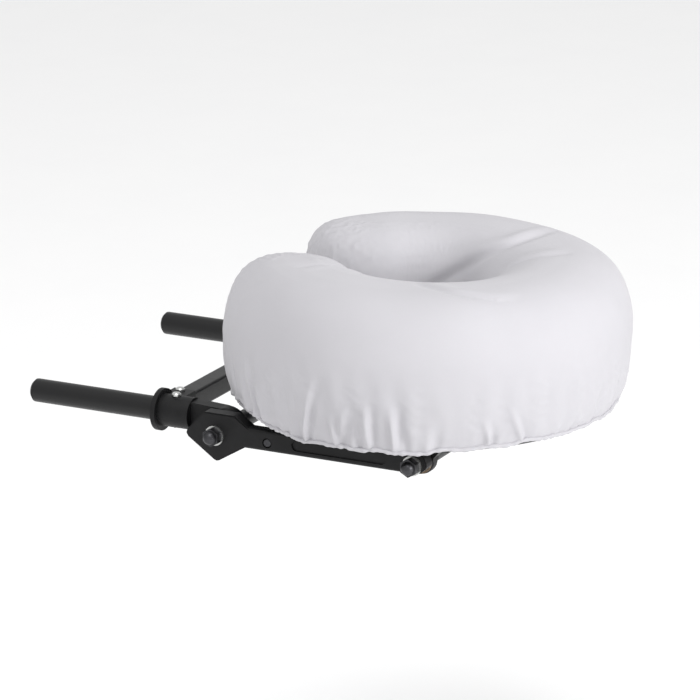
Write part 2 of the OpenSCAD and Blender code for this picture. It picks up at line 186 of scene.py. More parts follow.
def skin_sections(plan, inset, low, foot_w, row_n, slack=0.0):
    """Rows of a skin that lies inset inside the cover's rest shape, and the rows' mean rise.

    Each row is offsets and heights at the stations. The tips and the hole's side are fuller than the
    outer side. slack is how far loose cloth stands off the hole's forehead end.
    """
    shapes = (
        (OUTER_HALF_W, OUTER_POWER),
        (INNER_HALF_W, INNER_POWER),
        (TIP_HALF_W, TIP_POWER),
        (INNER_HALF_W + slack, SLACK_POWER if slack else OUTER_POWER),
    )
    swells = [swell(half_w - inset, foot_w, low, CROWN_Z - inset, power) for half_w, power in shapes]
    lines, rises = zip(*(resample(line, row_n) for line in swells))
    tip = np.sin(math.pi * plan.inner)
    head = smooth(0.1, 0.95, (HEAD_Y - plan.feet[:, 1]) / HEAD_R)
    side = 1 - tip
    hole = side * plan.inner
    shares = np.array([side * (1 - plan.inner), hole * (1 - head), tip, hole * head])
    mixed = np.einsum("srk,sn->rnk", np.array(lines), shares)
    return [(row[:, 0], row[:, 1]) for row in mixed], np.mean(rises, axis=0)


# ---- Mesh helpers ----


def new_object(name, vertices, faces, material=None, smooth_faces=True):
    mesh = bpy.data.meshes.new(name)
    mesh.from_pydata([tuple(v) for v in vertices], [], [tuple(int(i) for i in f) for f in faces])
    mesh.validate()
    if smooth_faces:
        mesh.shade_smooth()
    made = bpy.data.objects.new(name, mesh)
    bpy.context.scene.collection.objects.link(made)
    if material:
        mesh.materials.append(material)
    return made


def loop_grid(plan, rows):
    """Points of a skin, row by row from the foot. A row is its offset and height, at each station or all."""
    points = []
    for offset, height in rows:
        edge = plan.feet + plan.out * np.reshape(offset, (-1, 1))
        points.append(np.column_stack([edge, np.broadcast_to(height, plan.count)]))
    return np.array(points)


def skin_faces(plan, row_n):
    """Quads between rows of stations, with a last row that meets along the shared spine, and the spine."""
    n = plan.count
    number, spine = plan.spine()
    faces = []
    for row in range(row_n - 1):
        for k in range(n):
            after = (k + 1) % n
            faces.append((row * n + k, row * n + after, (row + 1) * n + after, (row + 1) * n + k))
    base, last = row_n * n, (row_n - 1) * n
    for k in range(n):
        after = (k + 1) % n
        a, b = base + number[k], base + number[after]
        faces.append((last + k, last + after, b) if a == b else (last + k, last + after, b, a))
    return faces, spine


def put_uv(made, plan, row_n, heights):
    """UV in metres: along the outline and up the skin."""
    layer = made.data.uv_layers.new(name="cloth")
    n = plan.count
    at = np.append(plan.at, plan.length)
    for face in made.data.polygons:
        columns = [v % n for v in face.vertices if v < row_n * n]
        wraps = max(columns) - min(columns) > n // 2
        for loop in face.loop_indices:
            v = made.data.loops[loop].vertex_index
            if v < row_n * n:
                column, row = v % n, v // n
                u = at[n] if wraps and column == 0 else at[column]
            else:
                u, row = at[min(columns)] if not wraps else at[n], row_n
            layer.data[loop].uv = (u, heights[row])


def coordinates(mesh):
    co = np.zeros(len(mesh.vertices) * 3)
    mesh.vertices.foreach_get("co", co)
    return co.reshape(-1, 3)


def normals(mesh):
    out = np.zeros(len(mesh.vertices) * 3)
    mesh.vertex_normals.foreach_get("vector", out)
    return out.reshape(-1, 3)


def set_coordinates(mesh, co):
    mesh.vertices.foreach_set("co", np.asarray(co, np.float32).ravel())
    mesh.update()


def face_outwards(made):
    """Turns every face of a skin that rises to the crown the right way out."""
    shape = bmesh.new()
    shape.from_mesh(made.data)
    bmesh.ops.recalc_face_normals(shape, faces=shape.faces)
    highest = max(shape.faces, key=lambda f: f.calc_center_median().z)
    if highest.normal.z < 0:
        bmesh.ops.reverse_faces(shape, faces=shape.faces)
    shape.to_mesh(made.data)
    shape.free()


def slab(name, plan, section, material):
    """A closed band swept round the horseshoe, from a half section that starts and ends at offset 0."""
    rows = loop_grid(plan, section[1:-1])
    number, spine = plan.spine()
    n, row_n = plan.count, len(rows)
    faces, _ = skin_faces(plan, row_n)
    top = np.column_stack([spine, np.full(len(spine), section[-1][1])])
    bottom = np.column_stack([spine, np.full(len(spine), section[0][1])])
    under = row_n * n + len(spine)
    for k in range(n):
        after = (k + 1) % n
        a, b = under + number[k], under + number[after]
        faces.append((after, k, a) if a == b else (after, k, a, b))
    made = new_object(name, np.vstack([rows.reshape(-1, 3), top, bottom]), faces, material)
    face_outwards(made)
    return made


# ---- Materials ----


class Look:
    """A material's node tree, built step by step. The shader's own sockets hold every constant."""

    def __init__(self, name, **sockets):
        self.material = bpy.data.materials.new(name)
        self.material.use_nodes = True
        self.tree = self.material.node_tree
        self.shader = self.tree.nodes["Principled BSDF"]
        for socket, value in sockets.items():
            self.shader.inputs[socket.replace("_", " ")].default_value = value
        self.place = self.add("ShaderNodeTexCoord").outputs["Object"]
        self.height = None

    def add(self, kind, inputs=None, **settings):
        made = self.tree.nodes.new(kind)
        for key, value in settings.items():
            setattr(made, key, value)
        for key, value in (inputs or {}).items():
            if isinstance(value, bpy.types.NodeSocket):
                self.tree.links.new(value, made.inputs[key])
            else:
                made.inputs[key].default_value = value
        return made

    def stretched(self, scale):
        return self.add("ShaderNodeMapping", {"Vector": self.place, "Scale": scale}).outputs[0]

    def noise(self, scale, detail=3.0, roughness=0.55, vector=None, distortion=0.0):
        inputs = {"Vector": vector or self.place, "Scale": scale, "Detail": detail, "Roughness": roughness}
        inputs["Distortion"] = distortion
        return self.add("ShaderNodeTexNoise", inputs).outputs["Fac"]

    def cells(self, scale, feature="F1"):
        inputs = {"Vector": self.place, "Scale": scale}
        return self.add("ShaderNodeTexVoronoi", inputs, feature=feature).outputs["Distance"]

    def ramp(self, value, low, high, to_low=0.0, to_high=1.0):
        inputs = {"Value": value, "From Min": low, "From Max": high, "To Min": to_low, "To Max": to_high}
        return self.add("ShaderNodeMapRange", inputs).outputs[0]

    def sum(self, a, b, operation="ADD"):
        return self.add("ShaderNodeMath", {0: a, 1: b}, operation=operation).outputs[0]

    def mix(self, factor, a, b):
        made = self.add("ShaderNodeMix", data_type="RGBA")
        for index, value in ((0, factor), (6, a), (7, b)):
            if isinstance(value, bpy.types.NodeSocket):
                self.tree.links.new(value, made.inputs[index])
            else:
                made.inputs[index].default_value = (*value, 1.0) if index else value
        return made.outputs[2]

    def blend(self, factor, a, b, share=0.35):
        """Mostly a, with up to share of b where a noise is high."""
        return self.mix(self.ramp(factor, 0.3, 0.7, 0.0, share), a, b)

    def colour(self, socket):
        self.tree.links.new(socket, self.shader.inputs["Base Color"])

    def rough(self, value, low, high):
        self.tree.links.new(self.ramp(value, 0.25, 0.75, low, high), self.shader.inputs["Roughness"])

    def bump(self, height, distance, strength=1.0):
        made = self.add("ShaderNodeBump", {"Height": height, "Distance": distance, "Strength": strength})
        if self.height is not None:
            self.tree.links.new(self.height, made.inputs["Normal"])
        self.height = made.outputs[0]
        self.tree.links.new(self.height, self.shader.inputs["Normal"])


def woven(name, base, shade, pitch, sheen):
    """Brushed plain-weave cloth with a short nap. The weave follows the UVs, which are in metres."""
    look = Look(name, Roughness=0.88, Sheen_Weight=sheen, Sheen_Roughness=0.45)
    uv = look.add("ShaderNodeUVMap", uv_map="cloth").outputs[0]
    split = look.add("ShaderNodeSeparateXYZ", {0: uv})
    turn = 2 * math.pi / pitch
    warp, weft = (look.sum(look.sum(split.outputs[k], turn, "MULTIPLY"), 0.0, "SINE") for k in (0, 1))
    weave = look.sum(warp, weft, "MULTIPLY")
    nap = look.noise(1500, 4, 0.7)
    patches = look.noise(14, 4, 0.6)
    threads = look.sum(look.ramp(weave, -1, 1, 0, 0.35), look.ramp(nap, 0.3, 0.7, 0, 0.65))
    tone = look.mix(look.ramp(threads, 0, 1, 0.0, 0.30), base, shade)
    look.colour(look.mix(look.ramp(patches, 0.3, 0.7, 0.0, 0.22), tone, shade))
    look.rough(nap, 0.8, 0.95)
    look.bump(patches, 0.4 * MM, 0.25)
    look.bump(nap, 0.12 * MM, 0.5)
    look.bump(weave, 0.06 * MM, 0.5)
    return look.material


def moulded(name, base, worn, roughness):
    """Moulded plastic with a fine spark texture, faint flow marks and rubbed patches."""
    look = Look(name, IOR=1.5, Specular_IOR_Level=0.22)
    grain, patches = look.noise(1400, 2, 0.5), look.noise(35, 5, 0.65)
    rub = look.ramp(look.noise(160, 6, 0.75, distortion=0.6), 0.60, 0.76)
    look.colour(look.mix(look.sum(rub, 0.30, "MULTIPLY"), look.blend(patches, base, worn), worn))
    look.rough(patches, roughness - 0.07, roughness + 0.09)
    look.bump(grain, 0.05 * MM, 0.55)
    look.bump(patches, 0.15 * MM, 0.25)
    return look.material


def coated(name, base, worn, roughness):
    """Powder-coated steel: orange peel, fine scratches and a few worn specks."""
    look = Look(name, IOR=1.5, Specular_IOR_Level=0.3, Coat_Weight=0.08, Coat_Roughness=0.35)
    peel = look.noise(520, 2, 0.4)
    scratches = look.noise(60, 8, 0.8, vector=look.stretched((14, 1.2, 14)))
    specks = look.ramp(look.noise(300, 5, 0.7), 0.70, 0.80)
    marks = look.ramp(scratches, 0.62, 0.78)
    tone = look.mix(look.sum(marks, 0.35, "MULTIPLY"), base, worn)
    look.colour(look.mix(specks, tone, worn))
    look.rough(scratches, roughness - 0.06, roughness + 0.12)
    look.bump(peel, 0.06 * MM, 0.6)
    look.bump(scratches, 0.02 * MM, 0.4)
    return look.material


def metal(name, base, dull, roughness, stretch):
    """Turned or plated steel with fine tool lines and dull handling marks."""
    look = Look(name, Metallic=1.0)
    lines = look.noise(240, 6, 0.75, vector=look.stretched(stretch))
    marks = look.noise(90, 5, 0.7)
    look.colour(look.blend(marks, base, dull, 0.55))
    wear = look.sum(look.sum(lines, 0.5, "MULTIPLY"), look.sum(marks, 0.5, "MULTIPLY"))
    look.rough(wear, roughness - 0.08, roughness + 0.14)
    look.bump(lines, 0.02 * MM, 0.6)
    return look.material


def fibre(name, base, fleck):
    """Pressed friction material with short fibres in a resin."""
    look = Look(name, Roughness=0.8)
    flecks = look.ramp(look.cells(900), 0.05, 0.35)
    streaks = look.noise(500, 4, 0.8, distortion=1.5)
    look.colour(look.mix(look.sum(flecks, look.ramp(streaks, 0.4, 0.7), "MULTIPLY"), fleck, base))
    look.rough(streaks, 0.7, 0.92)
    look.bump(streaks, 0.08 * MM, 0.7)
    return look.material


def rubber(name, base, dust):
    """Matt rubber with a faint bloom."""
    look = Look(name, IOR=1.45)
    bloom, grain = look.noise(120, 6, 0.7), look.noise(1800, 2, 0.5)
    look.colour(look.blend(bloom, base, dust, 0.5))
    look.rough(bloom, 0.62, 0.85)
    look.bump(grain, 0.05 * MM, 0.5)
    return look.material


def painted_ply(name, paint, wood):
    """Plywood under black paint: the grain shows as a shallow relief, and edges rub through in places."""
    look = Look(name, IOR=1.5)
    grain = look.noise(30, 7, 0.7, vector=look.stretched((1.2, 14, 14)), distortion=0.3)
    pores = look.ramp(look.noise(220, 3, 0.6, vector=look.stretched((0.6, 9, 9))), 0.56, 0.70)
    normal = look.add("ShaderNodeTexCoord").outputs["Normal"]
    side = look.add("ShaderNodeSeparateXYZ", {0: normal}).outputs[2]
    edge = look.ramp(look.sum(side, 0.0, "ABSOLUTE"), 0.35, 0.75, 1.0, 0.0)
    rub = look.ramp(look.noise(70, 6, 0.75), 0.62, 0.70)
    tone = look.blend(grain, paint, tuple(2.2 * c for c in paint), 0.8)
    look.colour(look.mix(look.sum(look.sum(edge, rub, "MULTIPLY"), 0.8, "MULTIPLY"), tone, wood))
    look.rough(grain, 0.42, 0.62)
    look.bump(grain, 0.25 * MM, 0.6)
    look.bump(pores, 0.12 * MM, 0.6)
    return look.material


def pile(name, base, tip, scale, depth):
    """Hook or loop tape: a dense field of small tufts, with painted highlight on their tops and painted
    shade between them.
    """
    look = Look(name, Roughness=0.9, Sheen_Weight=0.3, Sheen_Roughness=0.5)
    tufts = look.ramp(look.cells(scale), 0.1, 0.7, 1.0, 0.0)
    fuzz = look.noise(scale * 1.7, 4, 0.8, distortion=1.0)
    # Painted highlight and shade: tip is the lighter colour painted on the tufts' tops, base the darker one
    # left between them
    look.colour(look.mix(look.sum(tufts, fuzz, "MULTIPLY"), base, tip))
    look.rough(fuzz, 0.8, 1.0)
    look.bump(tufts, depth, 0.8)
    look.bump(fuzz, depth * 0.5, 0.7)
    return look.material


def foam(name, base, yellowed_and_pore_shade, scale):
    """Open-cell foam with uneven yellowing, and painted shade that darkens the pores' hollows."""
    look = Look(name, Roughness=0.95, Subsurface_Weight=0.1, Subsurface_Scale=2 * MM)
    pores = look.ramp(look.cells(scale), 0.0, 0.45)
    age = look.noise(18, 4, 0.6)
    tone = look.blend(age, base, yellowed_and_pore_shade, 0.5)
    # Painted shade: the pores' hollows are darkened towards the yellowed colour
    look.colour(look.mix(look.ramp(pores, 0, 1, 0.55, 0.0), tone, yellowed_and_pore_shade))
    look.rough(age, 0.88, 1.0)
    look.bump(pores, 0.35 * MM, 0.8)
    return look.material


def leatherette(name, base, crease):
    """Coated upholstery fabric with a pebbled grain, painted shade in the valleys between pebbles and a
    random darker mottle.
    """
    look = Look(name, IOR=1.47, Coat_Weight=0.12, Coat_Roughness=0.45)
    pebbles = look.cells(620, "SMOOTH_F1")
    folds = look.noise(45, 5, 0.6, distortion=0.5)
    # crease is both painted shade in the valleys between pebbles and the colour of a random darker mottle
    look.colour(look.mix(look.ramp(pebbles, 0.25, 0.7), look.blend(folds, base, crease, 0.4), crease))
    look.rough(folds, 0.42, 0.6)
    look.bump(look.ramp(pebbles, 0, 0.8, 1, 0), 0.16 * MM, 0.7)
    look.bump(folds, 0.3 * MM, 0.25)
    return look.material


COVER_TONE, COVER_SHADE = (0.495, 0.487, 0.512), (0.40, 0.393, 0.416)
COVER_WEAVE, COVER_SHEEN = 0.55 * MM, 0.12
looks = {
    "post_tube": coated("painted_tube", (0.006, 0.006, 0.0065), (0.045, 0.044, 0.042), 0.36),
    "black_plastic": moulded("glass_filled_nylon", (0.004, 0.004, 0.0045), (0.028, 0.028, 0.029), 0.48),
    "lever_plastic": moulded("lever_nylon", (0.006, 0.006, 0.0065), (0.035, 0.035, 0.036), 0.40),
    "black_tube": coated("black_powder_coat", (0.005, 0.005, 0.0055), (0.04, 0.039, 0.038), 0.40),
    "hardware": metal("zinc_plate", (0.63, 0.64, 0.63), (0.42, 0.42, 0.40), 0.30, (8, 0.4, 8)),
    "black_hardware": metal("black_oxide", (0.07, 0.07, 0.075), (0.03, 0.03, 0.032), 0.40, (6, 1, 6)),
    "friction_disc": fibre("pressed_fibre", (0.045, 0.036, 0.030), (0.20, 0.14, 0.085)),
    "rubber_bumper": rubber("rubber", (0.018, 0.018, 0.018), (0.06, 0.058, 0.055)),
    "board": painted_ply("painted_plywood", (0.018, 0.018, 0.019), (0.30, 0.20, 0.115)),
    # The tapes' second colour is painted highlight on the tufts' tops
    "hook_tape": pile("hook_tape", (0.012, 0.012, 0.013), (0.09, 0.09, 0.10), 620, 0.35 * MM),
    "loop_fabric": pile("loop_fabric", (0.025, 0.025, 0.028), (0.10, 0.10, 0.11), 420, 0.5 * MM),
    # The foams' second colour is both their yellowing and the painted shade in their pores
    "support_foam": foam("support_foam", (0.70, 0.66, 0.50), (0.48, 0.42, 0.28), 900),
    "memory_foam": foam("memory_foam", (0.80, 0.77, 0.66), (0.62, 0.57, 0.44), 1500),
    # The upholstery's second colour is painted shade in its grain's valleys and a random darker mottle
    "upholstery": leatherette("upholstery_vinyl", (0.085, 0.083, 0.080), (0.035, 0.034, 0.033)),
    "cover_cloth": woven("brushed_cover", COVER_TONE, COVER_SHADE, COVER_WEAVE, COVER_SHEEN),
    "elastic": woven("gathered_hem", COVER_TONE, COVER_SHADE, COVER_WEAVE, COVER_SHEEN),
}
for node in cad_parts.values():
    for index, old in enumerate(node.data.materials):
        node.material_slots[index].material = looks[old.name.split(".")[0]]

# ---- The cushion under the cover ----

panel_low, panel_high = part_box("loop_base_panel")
shell_low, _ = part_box("upholstery")
cover_low, cover_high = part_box("fitted_cover")
split_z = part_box("memory_foam")[0].z
PANEL_HALF_W = panel_high.x - HEAD_R
CUSHION_STEP = 5 * MM
# The cover's rest shape: half widths and fullness on the outer side, in the hole, at the tips and where it
# is slack. The crown is higher than the frame's plain solid, because the band is crowned across.
OUTER_HALF_W = cover_high.x - HEAD_R + 1.5 * MM
INNER_HALF_W = OUTER_HALF_W + 3.5 * MM
TIP_HALF_W = OUTER_HALF_W + 7 * MM
OUTER_POWER, INNER_POWER, TIP_POWER, SLACK_POWER = 2.35, 3.6, 3.9, 2.15
COVER_SLACK = 15 * MM
CROWN_Z = cover_high.z + 4.5 * MM
WIDEST_Z = 64 * MM
# How far inside that shape each layer lies
UPHOLSTERY_INSET = 3.6 * MM
FOAM_INSET = 5.4 * MM
CUT_STEP = 7 * MM


def cut_rows(rows, low, high):
    """The stretch of a skin's rows between two heights, as offsets at each height in evenly spaced steps."""
    across = np.array([offset for offset, _ in rows])
    up = np.array([np.broadcast_to(height, offset.shape) for offset, height in rows])
    steps = max(2, round((high - low) / CUT_STEP))
    out = []
    for z in np.linspace(low, high, steps + 1):
        offset = [np.interp(z, up[:, k], across[:, k]) for k in range(across.shape[1])]
        out.append((np.array(offset), z))
    return out


def rounded(half_w, low, high, foot_r, top_r, steps=7):
    """Half section of a slab with rounded corners, from mid underside to mid top."""
    line = [(0.0, low), ((half_w - foot_r) / 2, low)]
    for centre_z, r, first in ((low + foot_r, foot_r, -90), (high - top_r, top_r, 0)):
        for angle in np.radians(np.linspace(first, first + 90, steps)):
            line.append((half_w - r + r * math.cos(angle), centre_z + r * math.sin(angle)))
    return line + [((half_w - top_r) / 2, high), (0.0, high)]


def ease_section(line, spacing):
    """Splits long stretches of a section so that its rows are evenly spaced."""
    out = [line[0]]
    for a, b in zip(line, line[1:]):
        count = max(1, round(math.dist(a, b) / spacing))
        out += [tuple(np.add(a, np.multiply(k / count, np.subtract(b, a)))) for k in range(1, count + 1)]
    return out


inner_plan = Plan(CUSHION_STEP, FOAM_HALF_W)
foam_rows, _ = skin_sections(inner_plan, FOAM_INSET, foam_low.z, FOAM_HALF_W - 6 * MM, 40)
lower = cut_rows(foam_rows, foam_low.z, foam_high.z)
upper = cut_rows(foam_rows, split_z, split_z + 12 * MM)
crown_rows = [row for row in foam_rows[:-1] if np.min(row[1]) > split_z + 14 * MM]
lower_foot, lower_top = (lower[0][0] / 2, foam_low.z), (lower[-1][0] / 2, foam_high.z)
upper_foot = (upper[0][0] / 2, split_z)
lower = [(0.0, foam_low.z), lower_foot, *lower, lower_top, (0.0, foam_high.z)]
upper = [(0.0, split_z), upper_foot, *upper, *crown_rows, (0.0, CROWN_Z - FOAM_INSET)]
support = slab("SupportFoam", inner_plan, lower, looks["support_foam"])
memory = slab("MemoryFoam", inner_plan, upper, looks["memory_foam"])
for piece, node_name in ((support, "support_foam"), (memory, "memory_foam")):
    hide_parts(node_name)
    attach(piece, "cushion")


def build_upholstery():
    """Sewn skin over the foam, with a seam groove round the side and a turned edge round the loop panel."""
    plan = Plan(CUSHION_STEP, OUTER_HALF_W)
    lip = PANEL_HALF_W + 1.2 * MM
    foot = lip + 2 * MM
    body, _ = skin_sections(plan, UPHOLSTERY_INSET, shell_low.z, foot, 46)
    rows = [(lip, shell_low.z + 1.4 * MM), (lip, shell_low.z)]
    for across, up in body[:-1]:
        seam = np.exp(-(((up - split_z) / (1.8 * MM)) ** 2))
        rows.append((across - 1.1 * MM * seam, up))
    rows = loop_grid(plan, rows)
    faces, spine = skin_faces(plan, len(rows))
    top = np.column_stack([spine, np.full(len(spine), CROWN_Z - UPHOLSTERY_INSET)])
    made = new_object("Upholstery", np.vstack([rows.reshape(-1, 3), top]), faces, looks["upholstery"])
    face_outwards(made)
    return made


upholstery = build_upholstery()
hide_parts("upholstery")
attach(upholstery, "cushion")


def build_loop_panel():
    """Loop fabric let into the underside, with a pillowed face and a stitched border."""
    low, high = panel_low.z, panel_high.z
    section = ease_section(rounded(PANEL_HALF_W, low, high, 0.6 * MM, 0.5 * MM, 4), 3 * MM)
    line = np.array(section)
    under = line[:, 1] < (low + high) / 2
    stitch = np.exp(-(((line[:, 0] - (PANEL_HALF_W - 4 * MM)) / (1.2 * MM)) ** 2))
    line[:, 1] += under * 0.35 * MM * stitch
    return slab("LoopPanel", Plan(3 * MM, PANEL_HALF_W), [tuple(p) for p in line], looks["loop_fabric"])


panel = build_loop_panel()
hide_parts("loop_base_panel")
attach(panel, "cushion")

# ---- The fitted cover ----

HEM_HALF_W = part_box("hem_elastic")[1].x - HEAD_R - 4.5 * MM
HEM_Z = cover_low.z + 0.5 * MM
HEM_SAG = 6.5 * MM
# The simulated skin's spacing and rows, and how many stations each of its stations becomes
COVER_STEP = 4.2 * MM
COVER_ROWS = 40
COVER_REFINE = 3
SEED = 7
# The farthest that the simulation may move a point, and the frames that it runs for
MOVE_CAP = 9 * MM
CLOTH_FRAMES = 24
# The gathers' rough spacing, and how deep gathers and folds may go into the cloth together
GATHER_SPACING = 21 * MM
DEEPEST = 2.6 * MM
# Folds drawn over the cloth: a path from the forehead's centre in millimetres, half width and depth
DRAWN_FOLDS = (
    (((50, 25, 75), (55, -10, 100), (60, -45, 120), (85, -60, 125), (125, -65, 125)), 4.2 * MM, 2.8 * MM),
    (((-85, -30, 125), (-100, -70, 125), (-90, -105, 125), (-70, -120, 120)), 3.4 * MM, 1.5 * MM),
    (((-60, 20, 115), (-70, 50, 125), (-90, 70, 125)), 3.6 * MM, 1.2 * MM),
    (((20, -60, 110), (30, -85, 125), (45, -110, 125)), 4.5 * MM, 1.2 * MM),
)
# The near side's strong gathers: bearing in degrees round the forehead's centre, height in millimetres
# and lean
NEAR_GATHERS = (
    (150, 60, 0.1),
    (170, 60, -0.25),
    (180, 30, 0.1),
    (190, 45, 0.05),
    (197, 45, 0.0),
    (225, 30, 0.3),
    (235, 40, 0.5),
)


def ripple(plan, wavelength, lean, seed):
    """A smooth wavy noise round the outline, as a function of arc length and of the rise above the hem."""
    rng = np.random.default_rng(seed)
    turns = np.maximum(1, np.round(plan.length / (wavelength * rng.uniform(0.7, 1.5, 9))))
    phase, slant = rng.uniform(0, 2 * math.pi, 9), rng.normal(0, lean, 9)

    def value(at, rise):
        waves = [
            np.cos(2 * math.pi * t * at / plan.length + p + s * rise) for t, p, s in zip(turns, phase, slant)
        ]
        return np.mean(waves, axis=0) * 1.9

    return value


def hem_sag(plan):
    """How far the hem hangs below its height over the arms: most along the outer sides, none in the hole."""
    y = plan.feet[:, 1]
    along = (1 - smooth(HEAD_Y + 20 * MM, HEAD_Y + 75 * MM, y)) * (1 - plan.inner)
    edge = plan.feet + plan.out * HEM_HALF_W
    rng = np.random.default_rng(SEED + 7)
    waves = edge @ rng.normal(0, 95, (2, 6)) + rng.uniform(0, 2 * math.pi, 6)
    wave = np.cos(waves).mean(axis=1)
    share = 0.6 + 0.4 * smooth(HEAD_Y - 110 * MM, HEAD_Y - 20 * MM, y)
    return along * (HEM_SAG * share + 2.6 * MM * wave)


def in_hole(plan):
    """1 at the stations round the hole's forehead end, and 0 away from it."""
    return plan.inner * (1 - smooth(HEAD_Y - 40 * MM, HEAD_Y + 60 * MM, plan.feet[:, 1]))


def gather_strength(plan):
    """How strongly the cloth is gathered at each station: most at the table's end, least in the hole."""
    along = 0.5 + 0.5 * smooth(HEAD_Y - 80 * MM, HEAD_Y + 60 * MM, plan.feet[:, 1])
    return along * (1 - 0.85 * in_hole(plan))


def simulate(points, faces, body, pins, looseness):
    """Blows the cover up gently, with its hem and crown held, and returns the new points."""
    cloth_object = new_object("cover_trial", points, faces)
    for name, weights in (("pin", pins), ("loose", looseness)):
        group = cloth_object.vertex_groups.new(name=name)
        for index, weight in enumerate(weights):
            if weight > 0.001:
                group.add([index], float(weight), "REPLACE")
    body.modifiers.new("Collision", "COLLISION")
    body.collision.thickness_outer = 0.8 * MM
    body.collision.thickness_inner = 6 * MM
    body.collision.cloth_friction = 6
    cloth = cloth_object.modifiers.new("Cloth", "CLOTH")
    settings = cloth.settings
    settings.quality = 7
    settings.mass = 0.15
    settings.tension_stiffness = settings.compression_stiffness = 12
    settings.shear_stiffness = 4
    settings.bending_stiffness = 0.12
    settings.use_pressure = True
    settings.uniform_pressure_force = 3
    settings.effector_weights.gravity = 0
    settings.vertex_group_mass = "pin"
    settings.vertex_group_shrink = "loose"
    settings.shrink_min, settings.shrink_max = 0.0, -0.16
    cloth.collision_settings.distance_min = 0.8 * MM
    cloth.collision_settings.collision_quality = 3
    cloth.point_cache.frame_end = CLOTH_FRAMES
    scene = bpy.context.scene
    for number in range(1, CLOTH_FRAMES + 1):
        scene.frame_set(number)
    shaped = cloth_object.evaluated_get(bpy.context.evaluated_depsgraph_get())
    moved = coordinates(shaped.data)
    scene.frame_set(1)
    body.modifiers.clear()
    bpy.data.objects.remove(cloth_object)
    shift = moved - points
    far = np.linalg.norm(shift, axis=1, keepdims=True)
    return points + shift * np.minimum(1, MOVE_CAP / np.maximum(far, 1e-9))


def cubic(p0, p1, p2, p3, t):
    """Catmull-Rom point between p1 and p2."""
    bend = (2 * p0 - 5 * p1 + 4 * p2 - p3) * t * t + (3 * p1 - p0 - 3 * p2 + p3) * t**3
    return 0.5 * (2 * p1 + (p2 - p0) * t + bend)


def refine(grid, times):
    """Cubic resampling of a grid, with twice the rows and that many times the stations."""
    around = [np.roll(grid, shift, 1) for shift in (1, 0, -1, -2)]
    wide = np.stack([cubic(*around, part / times) for part in range(times)], axis=2)
    wide = wide.reshape(grid.shape[0], -1, 3)
    padded = np.concatenate([2 * wide[:1] - wide[1:2], wide, 2 * wide[-1:] - wide[-2:-1]], axis=0)
    out = np.zeros((2 * grid.shape[0] - 1, wide.shape[1], 3))
    out[0::2] = wide
    out[1::2] = cubic(padded[:-3], padded[1:-2], padded[2:-1], padded[3:], 0.5)
    return out


def cover_rest(plan, row_n):
    """The cover's rest shape: its grid of points, the row of crown points last, and the rows' rise."""
    sections, rise = skin_sections(plan, 0.0, HEM_Z, HEM_HALF_W, row_n, COVER_SLACK)
    rows = loop_grid(plan, sections[:-1])
    low_share = 1 - smooth(0, 34 * MM, rise[:-1])
    rows[..., 2] -= low_share[:, None] * hem_sag(plan)
    soft, pull = ripple(plan, 34 * MM, 6, SEED), gather_strength(plan)
    for k in range(1, row_n):
        share = smooth(0, 14 * MM, rise[k]) * (1 - smooth(30 * MM, 72 * MM, rise[k]))
        rows[k, :, :2] += plan.out * (2.2 * MM * share * pull * soft(plan.at, rise[k]))[:, None]
    number, spine = plan.spine()
    crown = np.column_stack([spine, np.full(len(spine), CROWN_Z)])
    return np.concatenate([rows, crown[number][None]]), rise


def sheet_points(plan, grid):
    """The grid's points with each crown point once, in the order that skin_faces expects."""
    number, spine = plan.spine()
    crown = np.zeros((len(spine), 3))
    crown[number] = grid[-1]
    return np.vstack([grid[:-1].reshape(-1, 3), crown])


def settle(plan, grid, rise):
    """How far each point of the grid moves in the simulation."""
    row_n = len(grid) - 1
    body_plan = Plan(6 * MM, OUTER_HALF_W)
    foot_z, top_z = HEM_Z - 7 * MM, CROWN_Z - 1.8 * MM
    body_rows, _ = skin_sections(body_plan, 1.8 * MM, foot_z, HEM_HALF_W - 4 * MM, 26, COVER_SLACK)
    body = slab("cushion_trial", body_plan, [(0.0, foot_z), *body_rows[:-1], (0.0, top_z)], None)
    held = smooth(rise[-1] - 28 * MM, rise[-1] - 16 * MM, rise)
    held[:2] = 1
    grow = smooth(2 * MM, 14 * MM, rise) * (1 - smooth(26 * MM, 74 * MM, rise))
    held, grow = (np.broadcast_to(weight[:, None, None], grid.shape) for weight in (held, grow))
    pins = sheet_points(plan, held)[:, 0]
    loose = sheet_points(plan, grow * gather_strength(plan)[None, :, None])[:, 0]
    points = sheet_points(plan, grid)
    faces, _ = skin_faces(plan, row_n)
    shift = simulate(points, faces, body, pins, loose) - points
    bpy.data.objects.remove(body)
    number, spine = plan.spine()
    rows, crown = shift[: -len(spine)].reshape(row_n, plan.count, 3), shift[-len(spine) :]
    return np.concatenate([rows, crown[number][None]]) * (1 - 0.9 * in_hole(plan))[None, :, None]


def build_cover():
    plan = Plan(COVER_STEP, OUTER_HALF_W)
    fine_plan = plan.finer(COVER_REFINE)
    grid, rise = cover_rest(fine_plan, 2 * COVER_ROWS)
    grid = grid + refine(settle(plan, *cover_rest(plan, COVER_ROWS)), COVER_REFINE)
    faces, _ = skin_faces(fine_plan, len(grid) - 1)
    made = new_object("FittedCover", sheet_points(fine_plan, grid), faces, looks["cover_cloth"])
    put_uv(made, fine_plan, len(grid) - 1, rise)
    face_outwards(made)
    dress(made, fine_plan, len(grid) - 1, rise)
    return made


def gather(plan, rise, at, place, height, width, size, lean, side):
    """One gather: a ridge with a crease beside it, which starts at the hem, leans and fades as it rises."""
    off = (at - place - lean * rise + plan.length / 2) % plan.length - plan.length / 2
    wide = width * (1 + 0.9 * rise / height)
    fade = (1 - smooth(0.3 * height, height, rise)) * (0.25 + 0.75 * smooth(0, 7 * MM, rise))
    crease_at = (side * off - 1.9 * wide) / (1.1 * wide)
    return size * fade * (np.exp(-((off / wide) ** 2)) - 0.7 * np.exp(-(crease_at**2)))


